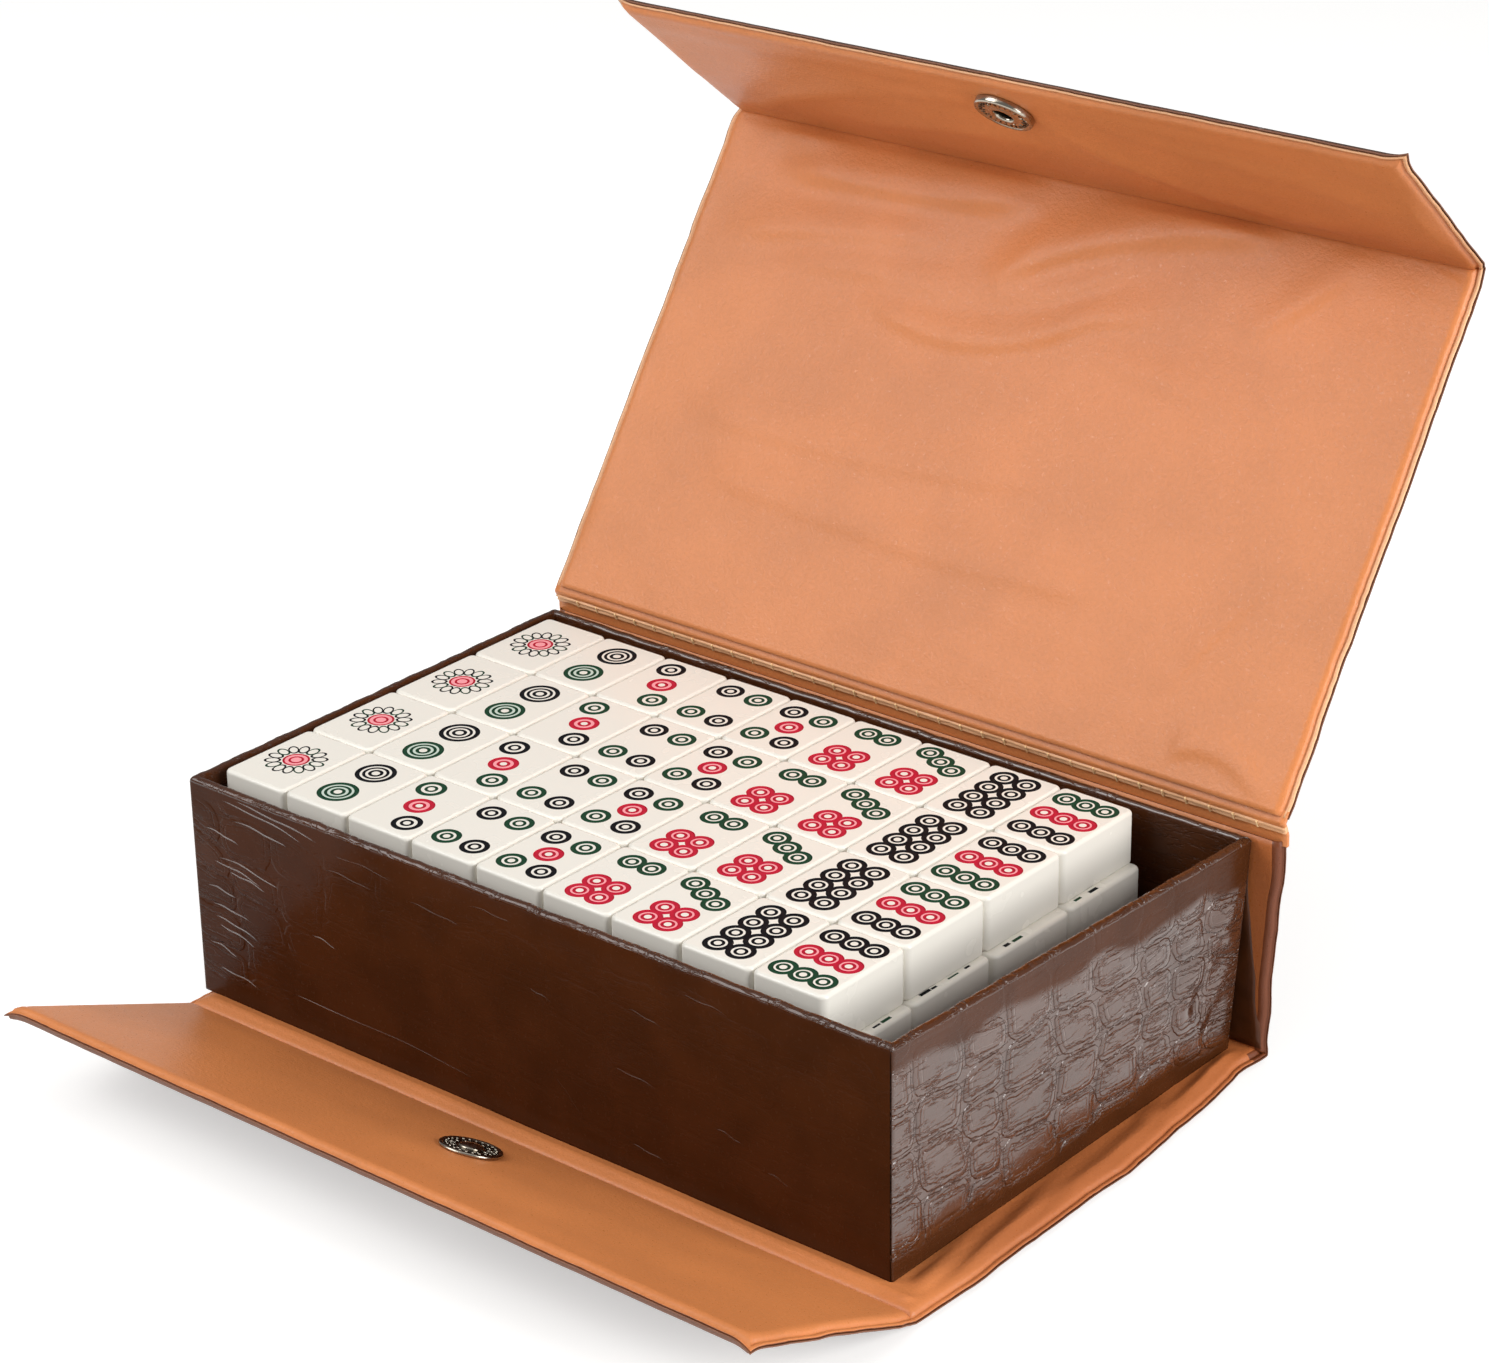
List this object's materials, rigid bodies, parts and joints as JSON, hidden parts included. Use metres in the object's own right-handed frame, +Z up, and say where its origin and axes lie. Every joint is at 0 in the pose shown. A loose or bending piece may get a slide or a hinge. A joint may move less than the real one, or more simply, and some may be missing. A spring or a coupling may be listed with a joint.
{
  "type": "mahjong case",
  "caption": "Tray of mahjong tiles on a padded cover whose lid, lid flap and lower flap fold round it and close on a magnetic snap.",
  "frame": {"origin": "centre of the base panel's underside, where the open case rests on a table", "axes": "+X along the hinge lines to the right as the user faces the tray, +Y from the front towards the spine, +Z up"},
  "size_m": [0.2746, 0.3298, 0.2638],
  "materials": {
    "cover_lining": "tan satin PVC leather with fine grain and welded seams",
    "cover_skin": "dark brown PVC leather embossed with crocodile grain, glossy",
    "tray_wrap": "dark brown PVC leather embossed with crocodile grain, glossy",
    "tray_lining": "plain dark brown PVC sheet",
    "greyboard": "raw grey board, hidden inside the covering",
    "snap_metal": "darkened nickel plate, polished on the raised beads",
    "magnet": "matt black ferrite",
    "tiles": "polished ivory-coloured melamine with engraved, painted dots"
  },
  "bodies": {
    "root": {"base_board": "greyboard", "base_lining": "cover_lining", "base_skin": "cover_skin", "spine_board": "greyboard", "spine_lining": "cover_lining", "spine_skin": "cover_skin", "base_spine_fold": "cover_lining", "tray_front_board": "greyboard", "tray_back_board": "greyboard", "tray_left_board": "greyboard", "tray_right_board": "greyboard", "tray_floor_board": "greyboard", "tray_wrap": "tray_wrap", "tray_floor_lining": "tray_lining", "tiles_1_dot": "tiles", "tiles_2_dots": "tiles", "tiles_3_dots": "tiles", "tiles_4_dots": "tiles", "tiles_5_dots": "tiles", "tiles_6_dots": "tiles", "tiles_7_dots": "tiles", "tiles_8_dots": "tiles", "tiles_9_dots": "tiles", "bamboo_tiles": "tiles", "character_tiles": "tiles", "wind_tiles": "tiles", "dragon_tiles": "tiles", "flower_tiles": "tiles"},
    "hinge_strip": {"hinge_strip": "cover_lining", "spine_top_fold": "cover_lining"},
    "lid": {"lid_board": "greyboard", "lid_lining": "cover_lining", "lid_skin": "cover_skin", "lid_fold": "cover_lining"},
    "lid_flap": {"lid_flap_board": "greyboard", "lid_flap_lining": "cover_lining", "lid_flap_skin": "cover_skin", "lid_flap_fold": "cover_lining", "lid_snap_socket": "snap_metal", "lid_snap_magnet": "magnet", "lid_snap_rivet": "snap_metal", "lid_snap_cap": "snap_metal"},
    "lower_flap": {"lower_flap_board": "greyboard", "lower_flap_lining": "cover_lining", "lower_flap_skin": "cover_skin", "lower_flap_fold": "cover_lining", "lower_snap_stud": "snap_metal", "lower_snap_rivet": "snap_metal", "lower_snap_cap": "snap_metal"}
  },
  "joints": [
    {"name": "lid_strip_hinge", "type": "hinge", "parent": "root", "child": "hinge_strip", "pos_m": [0, 0.08321, 0.07602], "axis": [1, 0, 0], "range_deg": [-28.48, 47.5], "deforming": ["spine_top_fold"]},
    {"name": "lid_hinge", "type": "hinge", "parent": "hinge_strip", "child": "lid", "pos_m": [0, 0.08134, 0.08022], "axis": [1, 0, 0], "range_deg": [-45.52, 75.9], "deforming": ["lid_fold"]},
    {"name": "lid_flap_hinge", "type": "hinge", "parent": "lid", "child": "lid_flap", "pos_m": [0, 0.17558, 0.21785], "axis": [1, 0, 0], "range_deg": [-84.5, 1.85], "deforming": ["lid_flap_fold"]},
    {"name": "lower_flap_hinge", "type": "hinge", "parent": "root", "child": "lower_flap", "pos_m": [0, -0.0867, 0.0021], "axis": [-1, 0, 0], "range_deg": [-22.5, 72.15], "deforming": ["lower_flap_fold"]}
  ]
}
